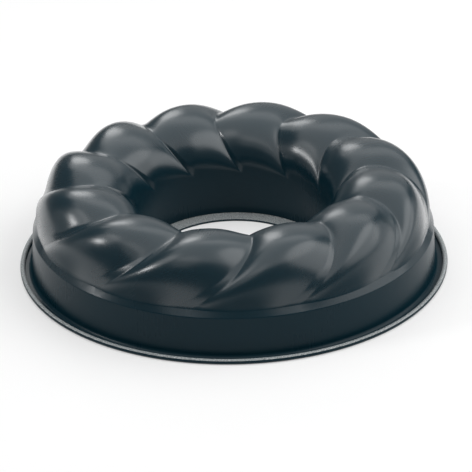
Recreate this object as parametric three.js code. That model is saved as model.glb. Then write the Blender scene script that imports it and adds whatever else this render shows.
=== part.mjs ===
// Ring cake mould with a rope-twist crown, standing upside down on its rim.
// Millimetres, +Z up. The origin is on the mould's axis, on the plane that the rim stands on.
// The mould is one pressed sheet, divided here into its walls, with a wire rolled into the rim.

import * as THREE from 'three';

// Sheet and overall size
const SHEET = 0.6;
const RIM_RADIUS = 140;
const OVERALL_HEIGHT = 65.4;

// Rolled rim and the wire inside it
const BEAD_DIAMETER = 3.2;
const CURL_END_ANGLE = 205;
const WIRE_CLEARANCE = 0.3;

// Flange and outer skirt
const FLANGE_WIDTH = 7.7;
const FOOT_FILLET = 2.5;
const SKIRT_HEIGHT = 26.5;
const SKIRT_DRAFT = 4;

// Shoulder between the skirt and the lobes
const SHOULDER_WIDTH = 2.1;
const SHOULDER_RISE = 4;

// Rope crown: each lobe swells from the valley line to the ridge line and back
const LOBES = 12;
const GUTTER_INSET = 3;
const VALLEY_DEPTH = 5.9;
const RIDGE_SHARE = 0.315;
const VALLEY_SHARE = 0.52;
const RIDGE_ROUNDNESS = { outer: 1.9, inner: 2.6 };
const VALLEY_ROUNDNESS = { outer: 2.1, inner: 2.2 };
const LOBE_PEAK = 0.4;
const LOBE_RISE = 0.95;
const LOBE_FALL = 1.05;
// Degrees by which a valley leads its inner tip: outer foot, outer flank, crest, inner flank, tip
const VALLEY_LEAN = [-8.9, 7.4, 13.7, 13.7, 0];
// Degrees round from the front (-Y) to the first inner tip
const FIRST_TIP_ANGLE = 22.7;

// Centre tube and its folded hem
const TUBE_TOP_RADIUS = 64;
const TUBE_TOP_HEIGHT = 34;
const TUBE_DRAFT = 2;
const HEM_BEND = 1.2;
const HEM_WIDTH = 10;
const HEM_GAP = 0.4;
const HEM_SETBACK = 1.2;

// Facets
const FACETS_PER_LOBE = 8;
const CROWN_STEPS = 12;
const SHOULDER_STEPS = 2;
const CURL_STEPS = 6;
const FILLET_STEPS = 2;
const FOLD_STEPS = 2;
const WIRE_SIDES = 6;

// Sizes that follow from the ones above
const SEGMENTS = LOBES * FACETS_PER_LOBE;
const radians = THREE.MathUtils.degToRad;
const beadRadius = BEAD_DIAMETER / 2;
const beadCentre = RIM_RADIUS - beadRadius;
const skirtFoot = RIM_RADIUS - FLANGE_WIDTH;
const skirtTop = skirtFoot - SKIRT_HEIGHT * Math.tan(radians(SKIRT_DRAFT));
const skirtWall = SHEET / Math.cos(radians(SKIRT_DRAFT));
const lobeFoot = skirtTop - SHOULDER_WIDTH;
const gutterFoot = lobeFoot - GUTTER_INSET;
const shoulderTop = SKIRT_HEIGHT + SHOULDER_RISE;
const tubeWall = SHEET / Math.cos(radians(TUBE_DRAFT));
const hemTop = SHEET + HEM_BEND;
const tubeFoot = TUBE_TOP_RADIUS - (TUBE_TOP_HEIGHT - hemTop) * Math.tan(radians(TUBE_DRAFT));

const exterior = { color: 0x2b2d2f, roughness: 0.35, metalness: 0.3 };
const coating = { color: 0x77797a, roughness: 0.5, metalness: 0.2 };
const steel = { color: 0xb5b8ba, roughness: 0.4, metalness: 1 };

const mould = new THREE.Group();

function addPiece(name, geometry, finish) {
  geometry.rotateX(Math.PI / 2);
  const piece = new THREE.Mesh(geometry, new THREE.MeshStandardMaterial(finish));
  piece.name = name;
  mould.add(piece);
}

// A ring whose section is a closed outline, given counter-clockwise as [radius, height] points.
function ring(outline) {
  const points = [...outline, outline[0]].map(([radius, height]) => new THREE.Vector2(radius, height));
  return new THREE.LatheGeometry(points, SEGMENTS);
}

function arc(centreRadius, centreHeight, radius, startAngle, endAngle, steps) {
  return Array.from({ length: steps + 1 }, (_, step) => {
    const angle = radians(startAngle + ((endAngle - startAngle) * step) / steps);
    return [centreRadius + radius * Math.cos(angle), centreHeight + radius * Math.sin(angle)];
  });
}

// Rolled rim: the flange's edge curled up and back until its cut edge hangs just over the flange.
function rolledRim() {
  const outside = arc(beadCentre, beadRadius, beadRadius, -90, CURL_END_ANGLE, CURL_STEPS);
  const inside = arc(beadCentre, beadRadius, beadRadius - SHEET, CURL_END_ANGLE, -90, CURL_STEPS);
  return ring([...outside, ...inside]);
}

function rimWire() {
  const wireRadius = beadRadius - SHEET - WIRE_CLEARANCE;
  return ring(arc(beadCentre, beadRadius, wireRadius, 0, 360, WIRE_SIDES).slice(0, WIRE_SIDES));
}

// Outer skirt: the flange that the mould stands on, a fillet and the drafted wall.
function outerSkirt() {
  const wallAngle = 180 + SKIRT_DRAFT;
  const filletTop = SHEET + FOOT_FILLET;
  const cornerOffset = FOOT_FILLET * Math.tan(radians((90 - SKIRT_DRAFT) / 2));
  const filletCentre = skirtFoot - SHEET * Math.tan(radians(SKIRT_DRAFT)) + cornerOffset;
  const outside = arc(filletCentre, filletTop, FOOT_FILLET, 270, wallAngle, FILLET_STEPS);
  const inside = arc(filletCentre, filletTop, FOOT_FILLET + SHEET, wallAngle, 270, FILLET_STEPS);
  return ring([
    [beadCentre, SHEET],
    ...outside,
    [skirtTop, SKIRT_HEIGHT],
    [skirtTop - skirtWall, SKIRT_HEIGHT],
    ...inside,
    [beadCentre, 0],
  ]);
}

// One point of a lobe's meridian: two superellipse quarters that meet at the crest.
function meridian(along, foot, crest, tip, roundness) {
  const outerSide = along <= 0.5;
  const end = outerSide ? foot : tip;
  const angle = Math.PI * (outerSide ? along : 1 - along);
  const power = 2 / (outerSide ? roundness.outer : roundness.inner);
  return [
    crest[0] + (end[0] - crest[0]) * Math.cos(angle) ** power,
    end[1] + (crest[1] - end[1]) * Math.sin(angle) ** power,
  ];
}

// The valley's lean at any place between its outer foot and its inner tip.
function valleyLean(along) {
  const last = VALLEY_LEAN.length - 1;
  return VALLEY_LEAN.reduce((sum, lean, here) => {
    const weight = VALLEY_LEAN.reduce(
      (product, _, other) => (other === here ? product : (product * (along * last - other)) / (here - other)),
      1,
    );
    return sum + lean * weight;
  }, 0);
}

// How far a lobe has swollen from valley to ridge, from 0 to 1, across its width.
function swell(across) {
  const rising = across < LOBE_PEAK;
  const reach = rising ? across / LOBE_PEAK : (1 - across) / (1 - LOBE_PEAK);
  return Math.sin((Math.PI / 2) * reach) ** (rising ? LOBE_RISE : LOBE_FALL);
}

function crownPoint(along, across) {
  const tip = [TUBE_TOP_RADIUS, TUBE_TOP_HEIGHT];
  const ringWidth = lobeFoot - TUBE_TOP_RADIUS;
  const ridgeCrest = [lobeFoot - RIDGE_SHARE * ringWidth, OVERALL_HEIGHT];
  const valleyCrest = [lobeFoot - VALLEY_SHARE * ringWidth, OVERALL_HEIGHT - VALLEY_DEPTH];
  const ridge = meridian(along, [lobeFoot, shoulderTop], ridgeCrest, tip, RIDGE_ROUNDNESS);
  const valley = meridian(along, [gutterFoot, shoulderTop], valleyCrest, tip, VALLEY_ROUNDNESS);
  return new THREE.Vector2(...valley).lerp(new THREE.Vector2(...ridge), swell(across));
}

// Rope crown: rows run from the skirt's top edge over the shoulder and the lobes to the tube,
// and columns follow the valleys. The food side lies one sheet below the outside, along its normal.
function ropeCrown() {
  const rows = SHOULDER_STEPS + CROWN_STEPS + 1;
  const place = (row, column) => {
    const along = Math.max(0, row - SHOULDER_STEPS) / CROWN_STEPS;
    const onLobe = crownPoint(along, (column % FACETS_PER_LOBE) / FACETS_PER_LOBE);
    const onShoulder = Math.min(1, row / SHOULDER_STEPS);
    const radius = THREE.MathUtils.lerp(skirtTop, onLobe.x, onShoulder ** 2);
    const height = THREE.MathUtils.lerp(SKIRT_HEIGHT, onLobe.y, onShoulder);
    const angle = radians(FIRST_TIP_ANGLE + valleyLean(along)) + (2 * Math.PI * column) / SEGMENTS;
    return new THREE.Vector3(radius * Math.sin(angle), height, radius * Math.cos(angle));
  };
  const below = (row, column) => {
    const outside = place(row, column);
    const radial = new THREE.Vector3(outside.x, 0, outside.z).normalize();
    if (row === 0) return outside.addScaledVector(radial, -skirtWall);
    if (row === rows - 1) return outside.addScaledVector(radial, tubeWall);
    const around = place(row, column + 1).sub(place(row, column + SEGMENTS - 1));
    const inward = place(row + 1, column).sub(place(row - 1, column));
    return outside.addScaledVector(around.cross(inward).normalize(), -SHEET);
  };
  const section = (step, column) => (step < rows ? place(step, column) : below(2 * rows - 1 - step, column));
  const firstSection = Array.from({ length: 2 * rows }, (_, step) => {
    const point = section(step, 0);
    return [Math.hypot(point.x, point.z), point.y];
  });
  const geometry = ring(firstSection);
  const position = geometry.getAttribute('position');
  const perColumn = firstSection.length + 1;
  for (let index = 0; index < position.count; index += 1) {
    const column = Math.floor(index / perColumn) % SEGMENTS;
    const point = section((index % perColumn) % firstSection.length, column);
    position.setXYZ(index, point.x, point.y, point.z);
  }
  geometry.computeVertexNormals();
  return geometry;
}

// Centre tube: the plain drafted wall between the lobes' tips and the hem.
function centreTube() {
  return ring([
    [TUBE_TOP_RADIUS, TUBE_TOP_HEIGHT],
    [tubeFoot, hemTop],
    [tubeFoot + tubeWall, hemTop],
    [TUBE_TOP_RADIUS + tubeWall, TUBE_TOP_HEIGHT],
  ]);
}

// Tube hem: the tube's edge bent in flat, then folded back over itself towards the tube.
function tubeHem() {
  const bendCentre = tubeFoot - HEM_BEND;
  const foldRadius = SHEET + HEM_GAP / 2;
  const foldCentre = tubeFoot - HEM_WIDTH + foldRadius;
  const cutEdge = tubeFoot - HEM_SETBACK;
  const upperFace = 2 * foldRadius;
  const outerBend = arc(bendCentre, hemTop, HEM_BEND, 0, -90, FILLET_STEPS);
  const innerBend = arc(bendCentre, hemTop, HEM_BEND + SHEET, -90, 0, FILLET_STEPS);
  return ring([
    ...outerBend,
    ...arc(foldCentre, foldRadius, HEM_GAP / 2, 270, 90, FOLD_STEPS),
    [cutEdge, SHEET + HEM_GAP],
    [cutEdge, upperFace],
    ...arc(foldCentre, foldRadius, foldRadius, 90, 270, FOLD_STEPS),
    ...innerBend,
  ]);
}

addPiece('rolled_rim', rolledRim(), coating);
addPiece('rim_wire', rimWire(), steel);
addPiece('outer_skirt', outerSkirt(), exterior);
addPiece('rope_crown', ropeCrown(), exterior);
addPiece('centre_tube', centreTube(), exterior);
addPiece('tube_hem', tubeHem(), coating);

export default mould;
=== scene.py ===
"""Looks of a ring cake mould with a rope-twist crown, standing mouth down on its rolled rim.

Every size is in metres and every angle in degrees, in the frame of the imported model: +Z up, the
origin on the mould's axis, on the plane that the rim stands on. The sheet is drawn as an outline,
spun round the axis, pressed into its lobes and given its thickness. The rim's curl, the wire in it
and the tube's hem are spun alike.
"""

from __future__ import annotations

import logging
import math
from collections.abc import Callable
from dataclasses import dataclass
from enum import Enum
from itertools import pairwise
from typing import NamedTuple

import bpy
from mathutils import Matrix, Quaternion, Vector

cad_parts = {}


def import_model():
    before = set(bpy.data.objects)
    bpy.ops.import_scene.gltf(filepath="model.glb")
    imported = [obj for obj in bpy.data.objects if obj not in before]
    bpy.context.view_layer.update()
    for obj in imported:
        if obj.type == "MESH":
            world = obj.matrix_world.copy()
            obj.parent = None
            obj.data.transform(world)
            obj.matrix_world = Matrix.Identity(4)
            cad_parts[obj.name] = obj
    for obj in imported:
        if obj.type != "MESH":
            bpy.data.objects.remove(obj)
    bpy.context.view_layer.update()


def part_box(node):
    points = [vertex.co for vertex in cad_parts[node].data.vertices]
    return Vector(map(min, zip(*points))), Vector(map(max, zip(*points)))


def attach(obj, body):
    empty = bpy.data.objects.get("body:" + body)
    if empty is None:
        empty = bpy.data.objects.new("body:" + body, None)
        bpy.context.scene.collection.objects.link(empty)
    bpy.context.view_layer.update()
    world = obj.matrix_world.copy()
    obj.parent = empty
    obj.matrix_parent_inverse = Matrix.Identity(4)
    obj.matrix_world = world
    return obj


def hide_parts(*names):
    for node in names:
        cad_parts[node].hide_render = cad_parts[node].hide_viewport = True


MM = 0.001
SHEET = 0.6 * MM
MERGE_DISTANCE = 0.01 * MM
FRONT_ANGLE = -90.0
BODY = "root"
ROW_MARK = "outline_row"
GLOSS_MARK = "gloss"
SHEET_MAP = "sheet"

Point = tuple[float, float]
Colour = tuple[float, float, float]
log = logging.getLogger("ring_mould")


class Face(Enum):
    """The two sides of the pressed sheet, as material slots."""

    OUTSIDE = 0
    FOOD_SIDE = 1


class Slot(Enum):
    """Names of the material slots."""

    EXTERIOR = "dark_exterior"
    NONSTICK = "nonstick_coat"
    WIRE = "wire_steel"


class Row(NamedTuple):
    """One row of the blank's outline.

    Attributes:
        radius: Distance from the axis.
        height: Height over the table.
        along: Place along the lobes, from their outer foot, 0, to their inner tips, 1.
        part: Part of the wall: 0 below the ledge, up to 1 over it, 1 on the lobes and up to 2 down
            the tube.
    """

    radius: float
    height: float
    along: float = 0.0
    part: float = 0.0


def blend(start: float, end: float, share: float) -> float:
    """Mix two values, giving start at share 0 and end at share 1."""
    return start + (end - start) * share


def ease(share: float) -> float:
    """Smooth step from 0 to 1, held outside that range."""
    held = min(1.0, max(0.0, share))
    return held * held * (3.0 - 2.0 * held)


def curve_through(values: tuple[float, ...], share: float) -> float:
    """Value of the smooth curve through evenly spaced values.

    Args:
        values: The values to pass through, in order.
        share: Place on the curve, 0 at the first value to 1 at the last.

    Returns:
        The curve's value.
    """
    last = len(values) - 1
    total = 0.0
    for here, value in enumerate(values):
        weight = 1.0
        for other in range(last + 1):
            if other != here:
                weight *= (share * last - other) / (here - other)
        total += value * weight
    return total


def arc(centre: Point, radius: float, start: float, end: float, steps: int) -> list[Point]:
    """Points of an arc in the plane of an outline.

    Args:
        centre: Radius and height of the arc's centre.
        radius: The arc's own radius.
        start: First angle, from the outward direction.
        end: Last angle.
        steps: Number of equal steps.

    Returns:
        Radius and height of each point, both ends included.
    """
    angles = (math.radians(blend(start, end, step / steps)) for step in range(steps + 1))
    return [(centre[0] + radius * math.cos(a), centre[1] + radius * math.sin(a)) for a in angles]


def trace_outline(name: str, outline: list[Point]) -> bpy.types.Object:
    """Draw an outline by extruding one vertex from point to point, and stay in edit mode.

    Args:
        name: The new piece's name.
        outline: Radius and height of each point, drawn in the XZ plane.

    Returns:
        The new object, at the origin.
    """
    bpy.ops.object.select_all(action="DESELECT")
    bpy.ops.mesh.primitive_plane_add(size=SHEET)
    piece = bpy.context.object
    piece.name = name
    piece.data.name = name
    bpy.ops.object.mode_set(mode="EDIT")
    bpy.ops.mesh.select_all(action="SELECT")
    bpy.ops.mesh.merge(type="CENTER")
    bpy.ops.transform.translate(value=(outline[0][0], 0.0, outline[0][1]))
    for here, there in pairwise(outline):
        step = (there[0] - here[0], 0.0, there[1] - here[1])
        bpy.ops.mesh.extrude_region_move(TRANSFORM_OT_translate={"value": step})
    return piece


def spin_round(steps: int) -> None:
    """Spin the outline in edit mode round the mould's axis, close it and go back to object mode.

    Args:
        steps: Number of columns round the axis.
    """
    bpy.ops.mesh.select_all(action="SELECT")
    bpy.ops.mesh.spin(steps=steps, angle=math.tau, center=(0.0, 0.0, 0.0), axis=(0.0, 0.0, 1.0))
    bpy.ops.mesh.select_all(action="SELECT")
    bpy.ops.mesh.remove_doubles(threshold=MERGE_DISTANCE)
    bpy.ops.mesh.normals_make_consistent(inside=False)
    bpy.ops.object.mode_set(mode="OBJECT")


def coat_in_two(
    piece: bpy.types.Object,
    finishes: dict[Face, bpy.types.Material],
    has_painted_shade: Callable[[float, float], bool],
) -> None:
    """Coat a spun piece like the food side, and paint shade on part of it with the outside's
    enamel.

    Args:
        piece: The piece.
        finishes: The material of each face of the sheet.
        has_painted_shade: Says for a face's radius and height whether the enamel paints shade on
            it.
    """
    piece.data.materials.append(finishes[Face.FOOD_SIDE])
    piece.data.materials.append(finishes[Face.OUTSIDE])
    # The outside's dark enamel stands in for shade on these food-side faces.
    for polygon in piece.data.polygons:
        centre = polygon.center
        polygon.material_index = int(has_painted_shade(math.hypot(centre.x, centre.y), centre.z))


def hand_over(piece: bpy.types.Object, slot: Slot, *nodes: str) -> None:
    """Put a finished piece in the place of its CAD nodes.

    Args:
        piece: The finished piece.
        slot: Not used.
        nodes: The CAD nodes that it stands for.
    """
    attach(piece, BODY)
    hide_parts(*nodes)
    log.info("%s: %d faces, stands for %s", piece.name, len(piece.data.polygons), ", ".join(nodes))


@dataclass
class Pressing:
    """The pressed sheet: flange, skirt, ledge, rope crown and centre tube in one piece.

    Places along a lobe go from its outer foot, 0, over its crest, 0.5, to its inner tip, 1. Places
    across it go from one gutter, 0, to the next one counter-clockwise, 1. Its leading side rises
    from the first gutter to the ridge, and its trailing side falls to the next.

    Attributes:
        flange_edge: Radius at which the rim's curl takes over from the flange.
        ridge_share: Place of the ridge's crest on the way from the lobes' foot to the tube.
        valley_share: The same for the gutter's crest.
        ridge_roundness: Superellipse powers of the ridge's outer and inner quarter.
        valley_roundness: The same for the gutter.
        lobe_peak: Place of the ridge across a lobe, at its foot, its crest and its tip.
        lobe_rise: Power and sharpness of the leading side, at the foot and at the tip.
        lobe_fall: The same for the trailing side.
        leading_strip: Width across of the flat strip at the leading side's foot, and length along.
        trailing_strip: The same for the trailing side.
        gutter_round: Rounding of a gutter towards the leading and the trailing side, across.
        tip_rise: How much higher than its start a lobe's tip ends on the tube.
        tip_edge: Stretch across in which it comes down again at its end.
        valley_lean: Turn of a gutter at even places along, from its inner end.
        first_tip_angle: Angle of one gutter's inner end, counter-clockwise from the front.
        column_stations: Share of a lobe's columns and the place across that they have come to.
        gloss_band: Places along where the glossy top coat starts and where it is full.
        gutter_gloss: How much nearer the foot it starts in a gutter.
        tip_fade: Stretch along in which it ends at the tips.
        ledge_gloss: How much of it the ledge has.
    """

    flange_edge: float
    skirt_foot: float
    skirt_height: float
    overall_height: float
    tube_top_radius: float
    tube_top_height: float
    tube_foot: float
    hem_top: float
    foot_fillet: float = 2.5 * MM
    skirt_draft: float = 4.0
    ledge_width: float = 2.3 * MM
    ledge_rise: float = 3.95 * MM
    lobes: int = 12
    gutter_inset: float = 1.2 * MM
    valley_depth: float = 5.7 * MM
    ridge_share: float = 0.425
    valley_share: float = 0.6
    ridge_roundness: Point = (2.3, 2.34)
    valley_roundness: Point = (2.19, 1.7)
    lobe_peak: tuple[float, ...] = (0.5, 0.4, 0.8)
    lobe_rise: tuple[Point, Point] = ((2.3, 0.79), (1.58, 0.72))
    lobe_fall: tuple[Point, Point] = ((1.82, 1.2), (2.32, 1.2))
    leading_strip: Point = (0.083, 0.395)
    trailing_strip: Point = (0.049, 0.51)
    gutter_round: Point = (0.033, 0.018)
    tip_rise: float = 5.4 * MM
    tip_edge: float = 0.04
    valley_lean: tuple[float, ...] = (-8.3, 6.7, 13.3, 10.9, 0.0)
    first_tip_angle: float = 23.8
    columns_per_lobe: int = 48
    column_stations: tuple[Point, ...] = ((0.0, 0.0), (0.42, 0.2), (0.75, 0.9), (1.0, 1.0))
    fillet_rows: int = 6
    skirt_stations: tuple[float, ...] = (0.35, 0.7, 0.98, 1.0)
    ledge_stations: tuple[float, ...] = (0.1, 0.5, 0.9)
    crown_rows: int = 50
    tube_stations: tuple[float, ...] = (0.03, 0.25, 0.5, 0.75, 1.0)
    gloss_band: Point = (0.04, 0.18)
    gutter_gloss: float = 0.2
    tip_fade: float = 0.03
    ledge_gloss: float = 0.6

    def columns(self) -> int:
        """Number of columns round the axis."""
        return self.lobes * self.columns_per_lobe

    def skirt_top(self) -> float:
        """Radius of the skirt's upper edge."""
        return self.skirt_foot - self.skirt_height * math.tan(math.radians(self.skirt_draft))

    def tube_radius(self, height: float) -> float:
        """Radius of the tube's cone at a height."""
        share = (height - self.hem_top) / (self.tube_top_height - self.hem_top)
        return blend(self.tube_foot, self.tube_top_radius, share)

    def tip_height(self, across: float) -> float:
        """Height at which a place across a lobe meets the tube, lowest at the gutters."""
        rise = self.tip_rise * across * ease((1.0 - across) / self.tip_edge)
        return self.tube_top_height + rise

    def swell(self, along: float, across: float) -> float:
        """How far a lobe has swollen from the valley line to the ridge line.

        Args:
            along: Place along the lobe.
            across: Place across it.

        Returns:
            0 in the gutter to 1 on the ridge.
        """
        peak = curve_through(self.lobe_peak, along)
        leading = across < peak
        width, length = self.leading_strip if leading else self.trailing_strip
        strip = width * ease(1.0 - along / length)
        gap = max(0.0, (across if leading else 1.0 - across) - strip)
        reach = (peak if leading else 1.0 - peak) - strip
        rounding = self.gutter_round[0 if leading else 1]
        near = math.hypot(gap, rounding) - rounding
        far = math.hypot(reach, rounding) - rounding
        at_foot, at_tip = self.lobe_rise if leading else self.lobe_fall
        power = blend(at_foot[0], at_tip[0], along)
        sharpness = blend(at_foot[1], at_tip[1], along)
        return (1.0 - (1.0 - near / far) ** power) ** sharpness

    def meridian(
        self, along: float, ends: tuple[Point, Point], crest: Point, roundness: Point
    ) -> Point:
        """One point of a line from the outer foot over a crest to the inner tip.

        Args:
            along: Place on the line, with the crest halfway.
            ends: Radius and height of the outer foot and of the inner tip.
            crest: Radius and height of the crest.
            roundness: Superellipse powers of the outer and the inner quarter.

        Returns:
            Radius and height of the point.
        """
        outer = along <= 0.5
        end = ends[0] if outer else ends[1]
        angle = math.pi * (along if outer else 1.0 - along)
        power = 2.0 / (roundness[0] if outer else roundness[1])
        out = max(0.0, math.cos(angle)) ** power
        up = max(0.0, math.sin(angle)) ** power
        return (crest[0] + (end[0] - crest[0]) * out, end[1] + (crest[1] - end[1]) * up)

    def crown_point(self, along: float, across: float) -> Point:
        """Radius and height of a point of the lobes' outside.

        Args:
            along: Place along the lobe.
            across: Place across it.

        Returns:
            Radius and height.
        """
        foot = self.skirt_top() - self.ledge_width
        foot_height = self.skirt_height + self.ledge_rise
        width = foot - self.tube_top_radius
        ridge_crest = (foot - self.ridge_share * width, self.overall_height)
        valley_crest = (foot - self.valley_share * width, self.overall_height - self.valley_depth)
        valley_foot = (foot - self.gutter_inset, foot_height)
        tip_height = self.tip_height(across)
        tip = (self.tube_radius(tip_height), tip_height)
        ridge = self.meridian(along, ((foot, foot_height), tip), ridge_crest, self.ridge_roundness)
        valley = self.meridian(along, (valley_foot, tip), valley_crest, self.valley_roundness)
        share = self.swell(along, across)
        return (blend(valley[0], ridge[0], share), blend(valley[1], ridge[1], share))

    def ledge_point(self, share: float, across: float) -> Point:
        """Radius and height of a point of the sloping ledge under the lobes.

        Args:
            share: Place from the skirt's top edge, 0, to the lobes' foot, 1.
            across: Place across the lobe above.

        Returns:
            Radius and height.
        """
        radius, height = self.crown_point(0.0, across)
        return (blend(self.skirt_top(), radius, share), blend(self.skirt_height, height, share))

    def tube_point(self, share: float, across: float) -> Point:
        """Radius and height of a point of the tube.

        Args:
            share: Place from the lobes' tips, 0, to the tube's foot, 1.
            across: Place across the lobe above.

        Returns:
            Radius and height.
        """
        height = blend(self.tip_height(across), self.hem_top, share)
        return (self.tube_radius(height), height)

    def outline(self) -> list[Row]:
        """The blank's outline from the flange's edge, up a ridge and down to the tube's foot.

        Returns:
            The rows in order.
        """
        draft = math.radians(self.skirt_draft)
        corner = self.foot_fillet * math.tan((math.pi / 2 - draft) / 2)
        centre = (self.skirt_foot - SHEET * math.tan(draft) + corner, SHEET + self.foot_fillet)
        fillet = arc(centre, self.foot_fillet, 270.0, 180.0 + self.skirt_draft, self.fillet_rows)
        rows = [Row(self.flange_edge, SHEET)]
        rows += [Row(radius, height) for radius, height in fillet]
        wall_foot = rows[-1]
        for share in self.skirt_stations:
            radius = blend(wall_foot.radius, self.skirt_top(), share)
            rows.append(Row(radius, blend(wall_foot.height, self.skirt_height, share)))
        ridge = self.lobe_peak[0]
        for share in self.ledge_stations:
            rows.append(Row(*self.ledge_point(share, ridge), 0.0, share))
        for row in range(self.crown_rows + 1):
            along = row / self.crown_rows
            rows.append(Row(*self.crown_point(along, ridge), along, 1.0))
        for share in self.tube_stations:
            rows.append(Row(*self.tube_point(share, ridge), 1.0, 1.0 + share))
        return rows

    def gloss(self, along: float, across: float, part: float) -> float:
        """How much of the glossy top coat a place has: none on the plain walls, all on the lobes.

        Args:
            along: Place along the lobe.
            across: Place across it.
            part: Part of the wall, as in a row of the outline.

        Returns:
            0 to 1.
        """
        if part == 1.0:
            start, end = self.gloss_band
            reach = along + self.gutter_gloss * (1.0 - self.swell(along, across))
            return ease((reach - start) / (end - start)) * ease((1.0 - along) / self.tip_fade)
        return self.ledge_gloss if 0.0 < part < 1.0 else 0.0

    def across_of(self, column: int) -> float:
        """Place of a column across its lobe, with more columns on both sides of the gutter.

        Args:
            column: The column's number, counted round the axis.

        Returns:
            The place across.
        """
        even = (column % self.columns_per_lobe) / self.columns_per_lobe
        for here, there in pairwise(self.column_stations):
            if even < there[0]:
                return blend(here[1], there[1], (even - here[0]) / (there[0] - here[0]))
        return 1.0

    def lobes_round(self, column: int) -> float:
        """Place of a column round the axis, counted in lobes."""
        return column // self.columns_per_lobe + self.across_of(column)

    def mark_rows(self, piece: bpy.types.Object) -> None:
        """Write each vertex's row into an attribute, which the spin copies to every column.

        Args:
            piece: The traced outline, in edit mode.
        """
        bpy.ops.object.mode_set(mode="OBJECT")
        rows = self.outline()
        marks = piece.data.attributes.new(ROW_MARK, "INT", "POINT")
        for vertex in piece.data.vertices:
            place = (vertex.co.x, vertex.co.z)
            nearest = min(range(len(rows)), key=lambda row: math.dist(rows[row][:2], place))
            marks.data[vertex.index].value = nearest
        bpy.ops.object.mode_set(mode="EDIT")

    def read_places(self, piece: bpy.types.Object) -> list[tuple[int, int]]:
        """Read where each vertex of the spun blank lies, and take its row marks away.

        Args:
            piece: The blank, spun with the pressing's columns.

        Returns:
            Row and column of each vertex.
        """
        columns = self.columns()
        marks = piece.data.attributes[ROW_MARK]
        places = []
        for vertex, mark in zip(piece.data.vertices, marks.data):
            turn = math.atan2(vertex.co.y, vertex.co.x) / math.tau
            places.append((mark.value, round(turn * columns) % columns))
        piece.data.attributes.remove(marks)
        return places

    def press_lobes(self, piece: bpy.types.Object, places: list[tuple[int, int]]) -> None:
        """Press the blank into its lobes, and mark where it has the glossy top coat.

        Args:
            piece: The blank.
            places: Row and column of each vertex.
        """
        rows = self.outline()
        shine = piece.data.attributes.new(GLOSS_MARK, "FLOAT", "POINT")
        for vertex, (row, column) in zip(piece.data.vertices, places):
            radius, height, along, part = rows[row]
            across = self.across_of(column)
            if part > 1.0:
                radius, height = self.tube_point(part - 1.0, across)
            elif part == 1.0:
                radius, height = self.crown_point(along, across)
            elif part > 0.0:
                radius, height = self.ledge_point(part, across)
            turn = self.lobes_round(column) * 360.0 / self.lobes
            lean = curve_through(self.valley_lean, along)
            angle = math.radians(self.first_tip_angle + FRONT_ANGLE + lean + turn)
            vertex.co = (radius * math.cos(angle), radius * math.sin(angle), height)
            shine.data[vertex.index].value = self.gloss(along, across, part)

    def map_sheet(self, piece: bpy.types.Object, places: list[tuple[int, int]]) -> None:
        """Map the sheet as lobes round the axis by metres along the outline.

        Args:
            piece: The pressed blank.
            places: Row and column of each vertex.
        """
        lengths = [0.0]
        for here, there in pairwise(self.outline()):
            lengths.append(lengths[-1] + math.dist(here[:2], there[:2]))
        last_column = self.columns() - 1
        layer = piece.data.uv_layers.new(name=SHEET_MAP)
        for polygon in piece.data.polygons:
            wraps = max(places[vertex][1] for vertex in polygon.vertices) == last_column
            for loop, vertex in zip(polygon.loop_indices, polygon.vertices):
                row, column = places[vertex]
                lap = self.lobes if wraps and column == 0 else 0
                layer.data[loop].uv = (self.lobes_round(column) + lap, lengths[row])

    def build(self, finishes: dict[Face, bpy.types.Material]) -> bpy.types.Object:
        """Draw, spin and press the sheet, and give it its thickness towards the food side.

        Args:
            finishes: The material of each face of the sheet.

        Returns:
            The pressing.
        """
        piece = trace_outline("pressing", [(row.radius, row.height) for row in self.outline()])
        self.mark_rows(piece)
        spin_round(self.columns())
        for face in Face:
            piece.data.materials.append(finishes[face])
        places = self.read_places(piece)
        self.press_lobes(piece, places)
        self.map_sheet(piece, places)
        wall = piece.modifiers.new("wall", "SOLIDIFY")
        wall.thickness = SHEET
        wall.offset = -1.0
        wall.material_offset = Face.FOOD_SIDE.value
        wall.material_offset_rim = Face.FOOD_SIDE.value
        bpy.ops.object.modifier_apply(modifier=wall.name)
        return piece


@dataclass
class RolledRim:
    """The flange's edge, curled up and back until its cut edge hangs just over the flange.

    Attributes:
        curl_start: Angle round the bead at which the curl leaves the flange.
        curl_end: Angle of its cut edge.
        painted_shade_end: Angle up to which its outer side has the outside's enamel as painted
            shade.
    """

    centre_radius: float
    bead_radius: float
    curl_start: float = -90.0
    curl_end: float = 205.0
    painted_shade_end: float = 40.0
    columns: int = 288
    curl_rows: int = 30

    def has_painted_shade(self, radius: float, height: float) -> bool:
        """Say whether a place on the curl's section gets painted shade: the enamel on its outer,
        lower side.

        Args:
            radius: The place's distance from the mould's axis.
            height: Its height.

        Returns:
            True where the shade is painted.
        """
        # The curl's outside is all food side; the dark enamel on its lower half is painted shade.
        out, up = radius - self.centre_radius, height - self.bead_radius
        angle = math.degrees(math.atan2(up, out))
        is_outer = math.hypot(out, up) > self.bead_radius - SHEET / 2
        return is_outer and self.curl_start < angle < self.painted_shade_end

    def build(self, finishes: dict[Face, bpy.types.Material]) -> bpy.types.Object:
        """Draw the curl's section, spin it and coat it.

        Args:
            finishes: The material of each face of the sheet.

        Returns:
            The rolled rim, food side out.
        """
        centre = (self.centre_radius, self.bead_radius)
        bore = self.bead_radius - SHEET
        outside = arc(centre, self.bead_radius, self.curl_start, self.curl_end, self.curl_rows)
        inside = arc(centre, bore, self.curl_end, self.curl_start, self.curl_rows)
        piece = trace_outline("rim_curl", [*outside, *inside, outside[0]])
        spin_round(self.columns)
        coat_in_two(piece, finishes, self.has_painted_shade)
        return piece


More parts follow.
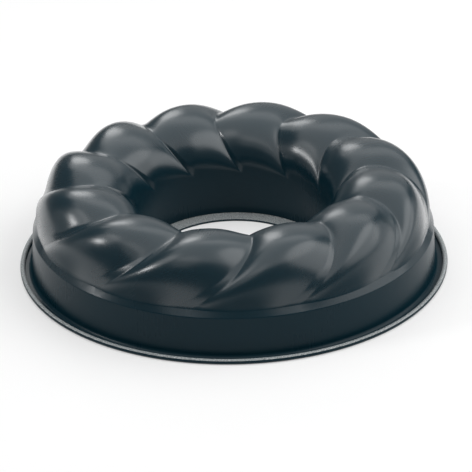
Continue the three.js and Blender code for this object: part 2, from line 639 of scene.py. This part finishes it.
@dataclass
class RimWire:
    """The ring of wire that the rim is curled round."""

    centre_radius: float
    centre_height: float
    wire_radius: float
    columns: int = 192
    sides: int = 12

    def build(self, finish: bpy.types.Material) -> bpy.types.Object:
        """Draw the wire's section and spin it.

        Args:
            finish: The wire's material.

        Returns:
            The ring of wire.
        """
        centre = (self.centre_radius, self.centre_height)
        piece = trace_outline("wire_ring", arc(centre, self.wire_radius, 0.0, 360.0, self.sides))
        spin_round(self.columns)
        piece.data.materials.append(finish)
        return piece


@dataclass
class TubeHem:
    """The tube's lower edge, bent in flat and folded back over itself.

    Attributes:
        inner_edge: Radius of the fold.
        gap: Gap between the two layers.
        setback: How far the cut edge stops short of the tube.
        painted_shade_edge: Width of the fold's edge that has the outside's enamel as painted
            shade.
    """

    tube_foot: float
    hem_top: float
    inner_edge: float
    gap: float = 0.4 * MM
    setback: float = 1.2 * MM
    painted_shade_edge: float = 0.4 * MM
    columns: int = 240
    bend_rows: int = 6
    fold_rows: int = 12

    def has_painted_shade(self, radius: float, _height: float) -> bool:
        """Say whether a place on the hem's section gets painted shade in the enamel: the fold's
        edge.
        """
        # The fold's nose is food side; the dark enamel on it is painted shade.
        return radius < self.inner_edge + self.painted_shade_edge

    def build(self, finishes: dict[Face, bpy.types.Material]) -> bpy.types.Object:
        """Draw the hem's section, spin it and coat it.

        Args:
            finishes: The material of each face of the sheet.

        Returns:
            The folded hem, food side out.
        """
        bend = self.hem_top - SHEET
        bend_centre = (self.tube_foot - bend, self.hem_top)
        fold_radius = SHEET + self.gap / 2
        fold_centre = (self.inner_edge + fold_radius, fold_radius)
        cut_edge = self.tube_foot - self.setback
        outline = arc(bend_centre, bend, 0.0, -90.0, self.bend_rows)
        outline += arc(fold_centre, self.gap / 2, 270.0, 90.0, self.fold_rows)
        outline += [(cut_edge, SHEET + self.gap), (cut_edge, 2 * fold_radius)]
        outline += arc(fold_centre, fold_radius, 90.0, 270.0, self.fold_rows)
        outline += arc(bend_centre, bend + SHEET, -90.0, 0.0, self.bend_rows)
        piece = trace_outline("folded_hem", [*outline, outline[0]])
        spin_round(self.columns)
        coat_in_two(piece, finishes, self.has_painted_shade)
        return piece


class NodeTree:
    """Short ways to add and link nodes in a material or a node group."""

    def __init__(self, tree: bpy.types.NodeTree) -> None:
        """Hold the tree that nodes are added to."""
        self.tree = tree

    def add(self, kind: str, **settings: object) -> bpy.types.Node:
        """Add a node and set its properties.

        Args:
            kind: The node's type name.
            settings: Properties of the node, by name.

        Returns:
            The new node.
        """
        node = self.tree.nodes.new(kind)
        for name, value in settings.items():
            setattr(node, name, value)
        return node

    def link(self, source: bpy.types.NodeSocket, target: bpy.types.NodeSocket) -> None:
        """Link an output to an input."""
        self.tree.links.new(source, target)

    def place(self) -> bpy.types.NodeSocket:
        """Add the coordinates of a place on the piece, in metres."""
        return self.add("ShaderNodeTexCoord").outputs["Object"]

    def noise(self, vector: bpy.types.NodeSocket, scale: float, detail: float) -> bpy.types.Node:
        """Add a noise texture on given coordinates.

        Args:
            vector: Coordinates to read.
            scale: Noise cells per unit.
            detail: Number of finer octaves.

        Returns:
            The noise node.
        """
        node = self.add("ShaderNodeTexNoise")
        node.inputs["Scale"].default_value = scale
        node.inputs["Detail"].default_value = detail
        self.link(vector, node.inputs["Vector"])
        return node

    def spread(
        self, value: bpy.types.NodeSocket, start: Point, end: Point = (0.0, 1.0)
    ) -> bpy.types.NodeSocket:
        """Map a value from one range to another, held at the ends.

        Args:
            value: The value to map.
            start: Range that it comes in.
            end: Range that it goes out in.

        Returns:
            The mapped value's socket.
        """
        node = self.add("ShaderNodeMapRange")
        for name, number in zip(("From Min", "From Max", "To Min", "To Max"), (*start, *end)):
            node.inputs[name].default_value = number
        self.link(value, node.inputs["Value"])
        return node.outputs["Result"]

    def mix(self, kind: str) -> dict[str, bpy.types.NodeSocket]:
        """Add a node that mixes two values or two colours.

        Args:
            kind: The node's data type.

        Returns:
            The node's sockets, by identifier.
        """
        node = self.add("ShaderNodeMix", data_type=kind)
        return {socket.identifier: socket for socket in (*node.inputs, *node.outputs)}

    def tint(
        self, share: bpy.types.NodeSocket, low: Colour | bpy.types.NodeSocket, high: Colour
    ) -> bpy.types.NodeSocket:
        """Mix two colours by a share that changes over the surface.

        Args:
            share: 0 for the first colour to 1 for the second.
            low: Colour at share 0, or the socket that gives it.
            high: Colour at share 1.

        Returns:
            The mixed colour's socket.
        """
        sockets = self.mix("RGBA")
        if isinstance(low, bpy.types.NodeSocket):
            self.link(low, sockets["A_Color"])
        else:
            sockets["A_Color"].default_value = (*low, 1.0)
        sockets["B_Color"].default_value = (*high, 1.0)
        self.link(share, sockets["Factor_Float"])
        return sockets["Result_Color"]


class Paint:
    """A new material with its Principled shader."""

    def __init__(self, name: str) -> None:
        """Make the material.

        Args:
            name: The material's name.
        """
        self.material = bpy.data.materials.new(name)
        self.material.use_nodes = True
        self.tree = NodeTree(self.material.node_tree)
        self.shader = self.material.node_tree.nodes["Principled BSDF"]

    def fix(self, socket: str, value: float) -> None:
        """Set one of the shader's inputs to a value."""
        self.shader.inputs[socket].default_value = value

    def drive(self, socket: str, source: bpy.types.NodeSocket) -> None:
        """Link an output to one of the shader's inputs."""
        self.tree.link(source, self.shader.inputs[socket])


def baked_coat_group() -> bpy.types.NodeTree:
    """Node group of a baked coat on steel: slow clouds of gloss, draw lines and an orange peel.

    Returns:
        The group, with Cloud Scale, Peel Scale and Draw Lines in, and Cloud and Peel out. Draw
        Lines is the share of the cloud that runs in lines down the sheet.
    """
    lines_per_lobe, lines_per_metre = 40.0, 14.0
    cloud_detail, peel_detail, line_detail = 3.0, 1.0, 2.0
    group = bpy.data.node_groups.new("baked_coat", "ShaderNodeTree")
    for name in ("Cloud Scale", "Peel Scale", "Draw Lines"):
        group.interface.new_socket(name, in_out="INPUT", socket_type="NodeSocketFloat")
    for name in ("Cloud", "Peel"):
        group.interface.new_socket(name, in_out="OUTPUT", socket_type="NodeSocketFloat")
    tree = NodeTree(group)
    entry = tree.add("NodeGroupInput")
    leave = tree.add("NodeGroupOutput")
    place = tree.place()
    cloud = tree.noise(place, 1.0, cloud_detail)
    peel = tree.noise(place, 1.0, peel_detail)
    tree.link(entry.outputs["Cloud Scale"], cloud.inputs["Scale"])
    tree.link(entry.outputs["Peel Scale"], peel.inputs["Scale"])
    sheet = tree.add("ShaderNodeUVMap", uv_map=SHEET_MAP)
    stretch = tree.add("ShaderNodeMapping")
    stretch.inputs["Scale"].default_value = (lines_per_lobe, lines_per_metre, 1.0)
    tree.link(sheet.outputs["UV"], stretch.inputs["Vector"])
    lines = tree.noise(stretch.outputs["Vector"], 1.0, line_detail)
    sockets = tree.mix("FLOAT")
    tree.link(entry.outputs["Draw Lines"], sockets["Factor_Float"])
    tree.link(cloud.outputs["Fac"], sockets["A_Float"])
    tree.link(lines.outputs["Fac"], sockets["B_Float"])
    tree.link(sockets["Result_Float"], leave.inputs["Cloud"])
    tree.link(peel.outputs["Fac"], leave.inputs["Peel"])
    return group


@dataclass(frozen=True)
class BakedSurface:
    """How the surface of one baked coat looks: its roughness, its clouds and its orange peel.

    Attributes:
        roughness: Roughness where the cloud is thin and where it is thick.
        cloud_scale: Clouds per metre.
        peel_scale: Bumps of orange peel per metre.
        peel_depth: Depth of the bumps.
        draw_lines: Share of the clouds that runs in lines down the sheet.
        cloud_range: Values of the cloud that count as thin and thick.
    """

    roughness: Point
    cloud_scale: float
    peel_scale: float
    peel_depth: float
    draw_lines: float = 0.0
    cloud_range: Point = (0.35, 0.65)

    def lay(self, paint: Paint, coat: bpy.types.NodeTree) -> bpy.types.NodeSocket:
        """Give a material the coat's roughness and its orange peel.

        Args:
            paint: The material.
            coat: The baked coat's node group.

        Returns:
            The cloud's socket.
        """
        tree = paint.tree
        surface = tree.add("ShaderNodeGroup", node_tree=coat)
        surface.inputs["Cloud Scale"].default_value = self.cloud_scale
        surface.inputs["Peel Scale"].default_value = self.peel_scale
        surface.inputs["Draw Lines"].default_value = self.draw_lines
        cloud = surface.outputs["Cloud"]
        paint.drive("Roughness", tree.spread(cloud, self.cloud_range, self.roughness))
        bump = tree.add("ShaderNodeBump")
        bump.inputs["Distance"].default_value = self.peel_depth
        tree.link(surface.outputs["Peel"], bump.inputs["Height"])
        paint.drive("Normal", bump.outputs["Normal"])
        return cloud


@dataclass(frozen=True)
class ExteriorCoat:
    """Anthracite enamel on the sheet's outside, with a glossy top coat where it is marked."""

    low: Colour = (0.0016, 0.016, 0.0255)
    high: Colour = (0.0032, 0.022, 0.0322)
    specular: float = 0.16
    top_roughness: float = 0.25
    surface: BakedSurface = BakedSurface(
        roughness=(0.26, 0.32),
        cloud_scale=28.0,
        peel_scale=900.0,
        peel_depth=0.004 * MM,
        draw_lines=0.2,
    )

    def material(self, coat: bpy.types.NodeTree) -> bpy.types.Material:
        """Make the material.

        Args:
            coat: The baked coat's node group.

        Returns:
            The new material.
        """
        paint = Paint("anthracite_enamel")
        paint.fix("Specular IOR Level", self.specular)
        paint.fix("Coat Roughness", self.top_roughness)
        cloud = self.surface.lay(paint, coat)
        paint.drive("Base Color", paint.tree.tint(cloud, self.low, self.high))
        gloss = paint.tree.add("ShaderNodeAttribute", attribute_name=GLOSS_MARK)
        paint.drive("Coat Weight", gloss.outputs["Fac"])
        return paint.material


@dataclass(frozen=True)
class NonstickCoat:
    """Mid-grey coat on the food side of the sheet, with dark and pale flecks.

    Attributes:
        shade_range: Values of the fleck noise over which the shade gives way to the ground.
        fleck_range: Values over which the ground gives way to the pale flecks.
    """

    shade: Colour = (0.11, 0.125, 0.13)
    ground: Colour = (0.29, 0.315, 0.32)
    fleck: Colour = (0.53, 0.555, 0.56)
    shade_range: Point = (0.3, 0.5)
    fleck_range: Point = (0.55, 0.7)
    fleck_scale: float = 1300.0
    fleck_detail: float = 2.0
    specular: float = 0.4
    surface: BakedSurface = BakedSurface(
        roughness=(0.42, 0.55),
        cloud_scale=30.0,
        peel_scale=700.0,
        peel_depth=0.02 * MM,
    )

    def material(self, coat: bpy.types.NodeTree) -> bpy.types.Material:
        """Make the material.

        Args:
            coat: The baked coat's node group.

        Returns:
            The new material.
        """
        paint = Paint("speckled_nonstick")
        paint.fix("Specular IOR Level", self.specular)
        self.surface.lay(paint, coat)
        tree = paint.tree
        flecks = tree.noise(tree.place(), self.fleck_scale, self.fleck_detail).outputs["Fac"]
        dark = tree.tint(tree.spread(flecks, self.shade_range), self.shade, self.ground)
        speckled = tree.tint(tree.spread(flecks, self.fleck_range), dark, self.fleck)
        paint.drive("Base Color", speckled)
        return paint.material


@dataclass(frozen=True)
class WireSteel:
    """Plain drawn steel of the rim's wire, with light and dark streaks.

    Attributes:
        streak_range: Values of the streak noise at which the roughness starts and ends.
    """

    low: Colour = (0.36, 0.36, 0.37)
    high: Colour = (0.55, 0.55, 0.56)
    roughness: Point = (0.3, 0.45)
    streak_scale: float = 260.0
    streak_detail: float = 4.0
    streak_range: Point = (0.3, 0.7)

    def material(self) -> bpy.types.Material:
        """Make the material.

        Returns:
            The new material.
        """
        paint = Paint("drawn_wire")
        paint.fix("Metallic", 1.0)
        tree = paint.tree
        streak = tree.noise(tree.place(), self.streak_scale, self.streak_detail).outputs["Fac"]
        paint.drive("Base Color", tree.tint(streak, self.low, self.high))
        paint.drive("Roughness", tree.spread(streak, self.streak_range, self.roughness))
        return paint.material


@dataclass(frozen=True)
class Softbox:
    """One soft lamp of the studio, aimed at the mould.

    Attributes:
        azimuth: Direction that it stands in, counter-clockwise from the front.
        elevation: Its angle over the table.
        size: Its diameter.
        power: Its power in watts.
        distance: Its distance from the mould.
    """

    name: str
    azimuth: float
    elevation: float
    size: float
    power: float
    distance: float = 1.6

    def place(self, target: Vector) -> None:
        """Add the lamp.

        Args:
            target: Point that the lamp is aimed at.
        """
        turn = math.radians(self.azimuth)
        rise = math.radians(self.elevation)
        level = self.distance * math.cos(rise)
        height = self.distance * math.sin(rise)
        bpy.ops.object.light_add(type="AREA")
        lamp = bpy.context.object
        lamp.name = self.name
        lamp.location = (level * math.sin(turn), -level * math.cos(turn), height)
        lamp.rotation_mode = "QUATERNION"
        lamp.rotation_quaternion = (target - lamp.location).to_track_quat("-Z", "Y")
        lamp.data.shape = "DISK"
        lamp.data.size = self.size
        lamp.data.energy = self.power


@dataclass(frozen=True)
class Studio:
    """Pale floor, soft lamps and even surroundings.

    Attributes:
        floor_glow: Light that the floor adds for the camera and in reflections.
        aim: Point that the lamps are aimed at.
    """

    floor_size: float = 12.0
    floor_colour: Colour = (0.6, 0.6, 0.6)
    floor_glow: float = 0.305
    surround: Colour = (1.0, 1.0, 1.0)
    surround_strength: float = 0.12
    aim: tuple[float, float, float] = (0.0, 0.0, 0.03)
    lamps: tuple[Softbox, ...] = (
        Softbox("key_lamp", 280.0, 35.0, 0.3, 4.2),
        Softbox("left_box", 280.0, 51.0, 0.8, 2.4),
        Softbox("low_left_box", 266.0, 14.0, 0.9, 0.6),
        Softbox("front_box", 338.0, 50.0, 0.9, 1.3),
        Softbox("rear_lamp", 192.0, 31.5, 0.42, 1.4),
        Softbox("rear_left_lamp", 206.0, 40.0, 0.42, 0.6),
        Softbox("back_box", 168.0, 35.0, 1.6, 2.6),
        Softbox("right_box", 84.0, 36.0, 1.9, 15.0),
        Softbox("low_right_box", 112.0, 12.0, 1.0, 1.2),
        Softbox("top_box", 110.0, 80.0, 3.2, 27.0),
    )

    def floor_material(self) -> bpy.types.Material:
        """Make a material that takes shadows, and glows for the camera and in reflections.

        Returns:
            The new material.
        """
        made = bpy.data.materials.new("pale_floor")
        made.use_nodes = True
        made.node_tree.nodes.clear()
        tree = NodeTree(made.node_tree)
        paper = tree.add("ShaderNodeBsdfDiffuse")
        paper.inputs["Color"].default_value = (*self.floor_colour, 1.0)
        glow = tree.add("ShaderNodeEmission")
        rays = tree.add("ShaderNodeLightPath")
        seen = rays.outputs["Is Camera Ray"]
        for name in ("Is Glossy Ray", "Is Transmission Ray"):
            either = tree.add("ShaderNodeMath", operation="MAXIMUM")
            tree.link(seen, either.inputs[0])
            tree.link(rays.outputs[name], either.inputs[1])
            seen = either.outputs[0]
        level = tree.add("ShaderNodeMath", operation="MULTIPLY")
        level.inputs[1].default_value = self.floor_glow
        tree.link(seen, level.inputs[0])
        tree.link(level.outputs[0], glow.inputs["Strength"])
        both = tree.add("ShaderNodeAddShader")
        tree.link(paper.outputs[0], both.inputs[0])
        tree.link(glow.outputs[0], both.inputs[1])
        tree.link(both.outputs[0], tree.add("ShaderNodeOutputMaterial").inputs["Surface"])
        return made

    def floor(self) -> None:
        """Add the floor."""
        bpy.ops.mesh.primitive_plane_add(size=self.floor_size)
        floor = bpy.context.object
        floor.name = "floor"
        floor.data.materials.append(self.floor_material())

    def world(self) -> None:
        """Set the even light of the surroundings."""
        world = bpy.data.worlds.new("studio")
        world.use_nodes = True
        background = world.node_tree.nodes["Background"]
        background.inputs["Color"].default_value = (*self.surround, 1.0)
        background.inputs["Strength"].default_value = self.surround_strength
        bpy.context.scene.world = world

    def build(self) -> None:
        """Add the floor, the surroundings and the lamps."""
        self.floor()
        self.world()
        for lamp in self.lamps:
            lamp.place(Vector(self.aim))


@dataclass(frozen=True)
class PhotoCamera:
    """The camera at the photograph's viewing angle, in front of the mould.

    Attributes:
        distance: Its distance from the frame's origin.
        elevation: Its angle over the table.
        lens: Focal length in millimetres.
        sensor: Sensor width in millimetres.
        roll: Its turn round its own axis.
        aim_right: How far right of the origin it looks.
        aim_up: How far above the origin it looks.
    """

    distance: float = 1.4
    elevation: float = 27.579
    lens: float = 162.22
    sensor: float = 36.0
    roll: float = -1.07
    aim_right: float = 0.0685
    aim_up: float = 0.5716

    def build(self) -> None:
        """Add the camera and make it the scene's."""
        rise = math.radians(self.elevation)
        place = self.distance * Vector((0.0, -math.cos(rise), math.sin(rise)))
        ahead = -place.normalized()
        right = ahead.cross(Vector((0.0, 0.0, 1.0))).normalized()
        above = right.cross(ahead)
        ahead = ahead + math.radians(self.aim_right) * right + math.radians(self.aim_up) * above
        bpy.ops.object.camera_add(location=place)
        camera = bpy.context.object
        camera.name = "photo_camera"
        camera.rotation_mode = "QUATERNION"
        roll = Quaternion((0.0, 0.0, 1.0), math.radians(self.roll))
        camera.rotation_quaternion = ahead.to_track_quat("-Z", "Y") @ roll
        camera.data.sensor_width = self.sensor
        camera.data.lens = self.lens
        bpy.context.scene.camera = camera


@dataclass
class Mould:
    """The whole mould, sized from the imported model.

    Attributes:
        tip_drop: How far under the solid tube's top the lowest place of the lobes' tips lies.
        wire_clearance: Gap between the wire and the curl round it.
        smooth_angle: Edges up to this angle are shaded smooth.
    """

    bead_radius: float = 1.6 * MM
    flange_width: float = 7.7 * MM
    tube_draft: float = 2.0
    tip_drop: float = 2.8 * MM
    hem_width: float = 10.0 * MM
    wire_clearance: float = 0.3 * MM
    smooth_angle: float = 60.0

    def smooth(self, piece: bpy.types.Object) -> None:
        """Shade a piece smooth, apart from its sharp edges.

        Args:
            piece: The piece.
        """
        bpy.ops.object.select_all(action="DESELECT")
        piece.select_set(True)
        bpy.context.view_layer.objects.active = piece
        bpy.ops.object.shade_smooth_by_angle(angle=math.radians(self.smooth_angle))

    def build(self) -> None:
        """Build and dress every piece, and put it in the place of its CAD nodes."""
        rim_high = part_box("rolled_rim")[1]
        skirt_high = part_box("outer_skirt")[1]
        crown_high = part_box("rope_crown")[1]
        tube_low, tube_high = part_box("centre_tube")
        bead_centre = rim_high.x - self.bead_radius
        wire_radius = self.bead_radius - SHEET - self.wire_clearance
        tube_draft = math.radians(self.tube_draft)
        tube_top = tube_high.x - SHEET / math.cos(tube_draft)
        tube_foot = tube_top - (tube_high.z - tube_low.z) * math.tan(tube_draft)
        coat = baked_coat_group()
        finishes = {
            Face.OUTSIDE: ExteriorCoat().material(coat),
            Face.FOOD_SIDE: NonstickCoat().material(coat),
        }
        pressing = Pressing(
            flange_edge=bead_centre,
            skirt_foot=rim_high.x - self.flange_width,
            skirt_height=skirt_high.z,
            overall_height=crown_high.z,
            tube_top_radius=tube_top - self.tip_drop * math.tan(tube_draft),
            tube_top_height=tube_high.z - self.tip_drop,
            tube_foot=tube_foot,
            hem_top=tube_low.z,
        ).build(finishes)
        rim = RolledRim(bead_centre, self.bead_radius).build(finishes)
        wire = RimWire(bead_centre, self.bead_radius, wire_radius).build(WireSteel().material())
        hem = TubeHem(tube_foot, tube_low.z, tube_foot - self.hem_width).build(finishes)
        for piece in (pressing, rim, wire, hem):
            self.smooth(piece)
        hand_over(pressing, Slot.EXTERIOR, "outer_skirt", "rope_crown", "centre_tube")
        hand_over(rim, Slot.NONSTICK, "rolled_rim")
        hand_over(wire, Slot.WIRE, "rim_wire")
        hand_over(hem, Slot.NONSTICK, "tube_hem")


def main() -> None:
    """Build the mould, its studio and its camera."""
    logging.basicConfig(level=logging.INFO, format="%(message)s")
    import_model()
    bpy.context.scene.view_settings.view_transform = "Standard"
    PhotoCamera().build()
    Mould().build()
    Studio().build()


if __name__ == "__main__":
    main()
